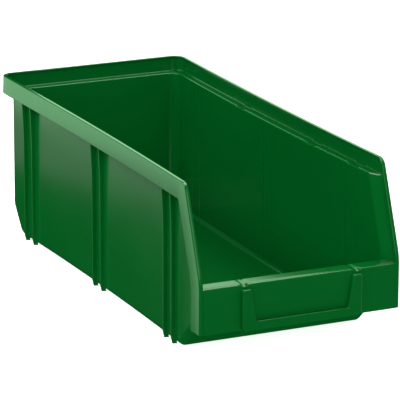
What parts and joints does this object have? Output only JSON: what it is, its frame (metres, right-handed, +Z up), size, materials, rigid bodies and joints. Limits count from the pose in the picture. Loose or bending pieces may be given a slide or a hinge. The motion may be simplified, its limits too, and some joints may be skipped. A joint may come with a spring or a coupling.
{
  "type": "stackable storage bin",
  "caption": "Open-fronted stacking storage bin with a raised front lip, a label holder, ribbed sides and a collar that carries the bin above.",
  "frame": {"origin": "centre of the footprint on the plane that the bin stands on", "axes": "+X to the bin's right as seen by someone facing its open front, +Y towards the rear wall, +Z up; the front panel and label holder face -Y"},
  "size_m": [0.16, 0.383, 0.128],
  "materials": {
    "polypropylene": "smooth injection-moulded polypropylene with a soft gloss"
  },
  "bodies": {
    "root": {"floor_panel": "polypropylene", "front_lip": "polypropylene", "front_panel": "polypropylene", "front_ramp": "polypropylene", "front_shelf": "polypropylene", "front_shelf_rear": "polypropylene", "label_holder_left_post": "polypropylene", "label_holder_rail": "polypropylene", "label_holder_right_post": "polypropylene", "left_collar": "polypropylene", "left_flange_band": "polypropylene", "left_flange_hem": "polypropylene", "left_flange_step": "polypropylene", "left_ledge": "polypropylene", "left_rib_1_front": "polypropylene", "left_rib_1_rear": "polypropylene", "left_rib_2_front": "polypropylene", "left_rib_2_rear": "polypropylene", "left_rib_3_front": "polypropylene", "left_rib_3_rear": "polypropylene", "left_wall": "polypropylene", "rear_collar": "polypropylene", "rear_heel": "polypropylene", "rear_ledge": "polypropylene", "rear_left_collar_corner": "polypropylene", "rear_left_ledge_corner": "polypropylene", "rear_left_wall_corner": "polypropylene", "rear_right_collar_corner": "polypropylene", "rear_right_ledge_corner": "polypropylene", "rear_right_wall_corner": "polypropylene", "rear_wall": "polypropylene", "right_collar": "polypropylene", "right_flange_band": "polypropylene", "right_flange_hem": "polypropylene", "right_flange_step": "polypropylene", "right_ledge": "polypropylene", "right_rib_1_front": "polypropylene", "right_rib_1_rear": "polypropylene", "right_rib_2_front": "polypropylene", "right_rib_2_rear": "polypropylene", "right_rib_3_front": "polypropylene", "right_rib_3_rear": "polypropylene", "right_wall": "polypropylene"}
  },
  "joints": []
}
